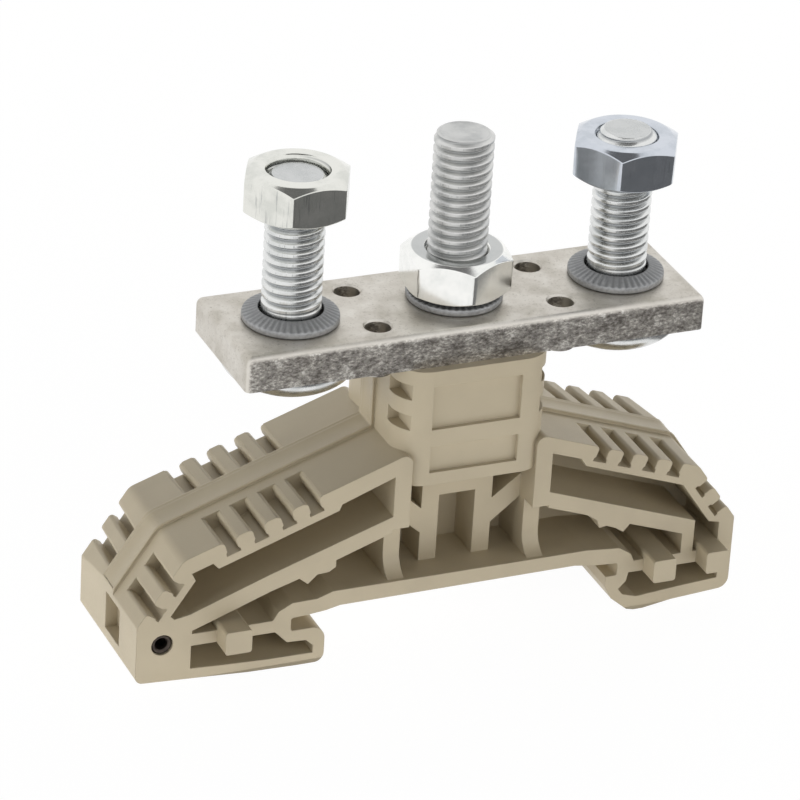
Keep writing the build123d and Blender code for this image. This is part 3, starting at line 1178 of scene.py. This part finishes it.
@dataclass
class BenchLight(SoftLight):
    """A quarter of the bench that shines up at the block, as a lit table does."""

    height: float = 0.0004

    def place(self) -> tuple[Vector, Vector]:
        """Puts the middle of the quarter on its bearing; it shines straight up.

        Returns:
            The place in metres and a unit vector.
        """
        bearing = radians(self.bearing)
        reach = self.size[0] / sqrt(2.0)
        return Vector((-sin(bearing) * reach, -cos(bearing) * reach, self.height)), UP


@dataclass
class Studio:
    """A plain pale floor, soft lights and dark cards that only the metal sees.

    The light comes up from the bench and in from low softboxes on the left and
    behind on the right, with little from above: the fronts and the left end are
    light, the upper faces a shade darker and the pockets dark. Sizes are in
    metres. Where the camera or the metal sees the floor, floor_glow_share of
    what they see is its glow.
    """

    floor_side: float = 4.0
    floor_colour: str = "#E9E8E6"
    floor_glow: float = 1.05
    floor_glow_share: float = 0.92
    low_box: tuple[float, float] = (0.75, 0.34)
    mid_box: tuple[float, float] = (0.8, 0.6)
    high_box: tuple[float, float] = (0.7, 0.7)
    quarter: tuple[float, float] = (1.0, 1.0)

    def shown(self, tree: bpy.types.NodeTree) -> bpy.types.Node:
        """Tells what is looked at from what gives light.

        Args:
            tree: the node tree of the floor or the world.

        Returns:
            A node that gives 1 to rays of the camera and of reflections, and 0 to others.
        """
        path = add_node(tree, "ShaderNodeLightPath")
        rays = {0: path.outputs["Is Camera Ray"], 1: path.outputs["Is Glossy Ray"]}
        return add_node(tree, "ShaderNodeMath", {"operation": "MAXIMUM"}, rays)

    def floor(self) -> None:
        """Makes the pale floor: shadows show on it, and the camera sees the rest nearly white."""
        material, tree = new_material("pale_floor")
        matt = add_node(tree, "ShaderNodeBsdfDiffuse", {"Color": linear(self.floor_colour)})
        glow = add_node(tree, "ShaderNodeEmission", {"Color": linear(WHITE), "Strength": self.floor_glow})
        share = add_node(
            tree, "ShaderNodeMath",
            {"operation": "MULTIPLY", 1: self.floor_glow_share}, {0: self.shown(tree)},
        )
        mix = add_node(tree, "ShaderNodeMixShader", links={0: share, 1: matt, 2: glow})
        add_node(tree, "ShaderNodeOutputMaterial", links={"Surface": mix})
        side = self.floor_side / 2
        self.sheet("floor", ((-side, -side), (side, -side), (side, side), (-side, side)), 0.0, material)

    def sheet(
        self, name: str, corners: Sequence[tuple[float, float]], height: float, material: bpy.types.Material,
    ) -> bpy.types.Object:
        """Makes a level sheet of the stage.

        Args:
            name: its name.
            corners: its outline in x and y, in metres.
            height: its height in metres.
            material: its finish.

        Returns:
            The sheet.
        """
        mesh = bpy.data.meshes.new(name)
        mesh.from_pydata([(x, y, height) for x, y in corners], [], [tuple(range(len(corners)))])
        mesh.materials.append(material)
        sheet = bpy.data.objects.new(name, mesh)
        bpy.context.scene.collection.objects.link(sheet)
        return sheet

    def card(self, name: str, height: float, strength: float, corners: Sequence[tuple[float, float]]) -> None:
        """Makes a card that shows only in the metal's reflections.

        Args:
            name: its name.
            height: its height in metres.
            strength: how light it is, where 1 is white.
            corners: its outline in x and y, in metres.
        """
        material, tree = new_material(name)
        glow = add_node(tree, "ShaderNodeEmission", {"Color": linear(WHITE), "Strength": strength})
        add_node(tree, "ShaderNodeOutputMaterial", links={"Surface": glow})
        card = self.sheet(name, corners, height, material)
        card.visible_camera = False
        card.visible_diffuse = False
        card.visible_shadow = False
        card.visible_transmission = False

    def surroundings(self) -> None:
        """Sets the world: white behind the object and in the metal, with no light of its own."""
        world = bpy.data.worlds.new("studio")
        bpy.context.scene.world = world
        world.use_nodes = True
        tree = world.node_tree
        tree.nodes.clear()
        shade = add_node(
            tree, "ShaderNodeBackground", {"Color": linear(WHITE)}, {"Strength": self.shown(tree)},
        )
        add_node(tree, "ShaderNodeOutputWorld", links={"Surface": shade})

    def build(self) -> None:
        """Makes the floor, the world, the lights and the cards."""
        self.floor()
        self.surroundings()
        for light in (
            BenchLight("bench_front_left", 45, 0, self.quarter, 2.6),
            BenchLight("bench_back_left", 135, 0, self.quarter, 3.1),
            BenchLight("bench_front_right", -45, 0, self.quarter, 1.9),
            SoftLight("left_low", 90, 11, self.low_box, 3.9),
            SoftLight("left_high", 90, 65, self.high_box, 1.2),
            SoftLight("front_low", 0, 11, self.low_box, 1.0),
            SoftLight("front_mid", 0, 35, self.mid_box, 1.2),
            SoftLight("right_low", -45, 11, self.low_box, 2.7),
            SoftLight("back_right_low", -135, 11, self.low_box, 5.0),
            SoftLight("back_mid", 180, 35, self.mid_box, 1.1),
            SoftLight("back_high", 180, 65, self.high_box, 0.9),
        ):
            light.make()
        in_front = ((-0.03, -0.035), (0.1, -0.035), (0.3, -0.12), (0.3, -0.5), (-0.03, -0.5))
        at_right = ((0.045, -0.03), (0.3, -0.09), (0.3, 0.04), (0.045, 0.02))
        overhead = ((-0.15, -0.15), (0.15, -0.15), (0.15, 0.15), (-0.15, 0.15))
        self.card("dark_card", 0.0006, 0.17, in_front)
        self.card("grey_card", 0.0007, 0.2, at_right)
        self.card("ceiling_card", 0.5, 0.15, overhead)
        bpy.context.scene.view_settings.view_transform = "Standard"
        log.info("studio: floor, world and lights are in place")


@dataclass
class TerminalBlock:
    """The whole block: what keeps its solid, and what is made again.

    The lines of the housing's raised strip are in x and z, in millimetres.
    """

    thread: Thread
    left_strip: tuple[tuple[float, float], ...] = (
        (-31.96, 7.7), (-27.65, 13.99), (-5.63, 21.77), (-5.63, 30.5),
    )
    right_strip: tuple[tuple[float, float], ...] = (
        (11.03, 30.5), (11.03, 21.61), (27.7, 15.78), (31.94, 9.72),
    )

    def finish_node(self, node: str, material: bpy.types.Material) -> None:
        """Gives a node that keeps its solid a new material.

        Args:
            node: the CAD node.
            material: its finish.
        """
        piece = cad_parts[node]
        if not piece.material_slots:
            piece.data.materials.append(material)
        for held in piece.material_slots:
            held.material = material
        log.info("%s: keeps its solid, finished as %s", node, material.name)

    def nuts(self) -> None:
        """Builds the three nuts, each from a plating bath of its own tint; the centre one's near-white plate
        is partly a painted highlight.
        """
        bright = ZincPlate()
        cool = ZincPlate("zinc_plate_cool", "#D0D5DD", "#C2C8D0", streaks=0.3)
        # The centre nut's near-white plate, brighter than zinc, is partly a painted highlight on its faces;
        # its top takes a painted shade.
        clear = ZincPlate("zinc_plate_clear_painted_highlight", "#F8F8F5", "#EFF0ED", streaks=0.05, top_shade=0.6)
        left = HexNut("left_nut", "left_hex_nut", "left_nut_body", 4.5, self.thread)
        right = HexNut("right_nut", "right_hex_nut", "right_nut_body", 1.0, self.thread, nose_low=0.9)
        centre = HexNut("centre_nut", "centre_hex_nut", "centre_nut_body", 25.8, self.thread)
        for nut, plate in ((left, bright), (right, cool), (centre, clear)):
            nut.build(plate.material())

    def studs(self) -> None:
        """Builds the two outer studs, rolled bright, and the duller centre one."""
        # Both stud plates paint a shade on the upward ends and in the thread roots.
        rolled = ZincPlate(
            "zinc_plate_rolled", "#E4E5E4", "#D8DAD9", root="#94979A", roughness=0.24, top_shade=0.35,
        ).material()
        dull = ZincPlate(
            "zinc_plate_dull", "#DCDCDA", "#C9CAC9", root="#A3A5A5", roughness=0.42, scratch=1.0, top_shade=0.2,
        ).material()
        RoundHeadStud("left_stud", "left_threaded_stud", 0.5, self.thread).build(rolled)
        RoundHeadStud("right_stud", "right_threaded_stud", 0.65, self.thread).build(rolled)
        MouldedInStud("centre_stud", "centre_threaded_stud", self.thread).build(dull)

    def build(self) -> None:
        """Builds and dresses every piece."""
        moulded = MouldedPolyamide().material()
        self.finish_node("housing", moulded)
        LippedStrip("left_strip_lips", self.left_strip).build(moulded)
        LippedStrip("right_strip_lips", self.right_strip).build(moulded)
        self.finish_node("current_bar", TinnedCopper().material())
        self.studs()
        self.nuts()
        coated = GreySpringSteel().material()
        for side in ("left", "right", "centre"):
            RibbedWasher(f"{side}_washer", f"{side}_ribbed_washer").build(coated)
        HollowPin("foot_pin", "foot_hollow_pin").build(BlackedSteel().material())


def main() -> None:
    """Builds the camera, the studio and the block."""
    logging.basicConfig(level=logging.INFO, format="%(name)s: %(message)s")
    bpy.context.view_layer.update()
    PhotoCamera().place()
    Studio().build()
    TerminalBlock(Thread()).build()


if __name__ == "__main__":
    main()
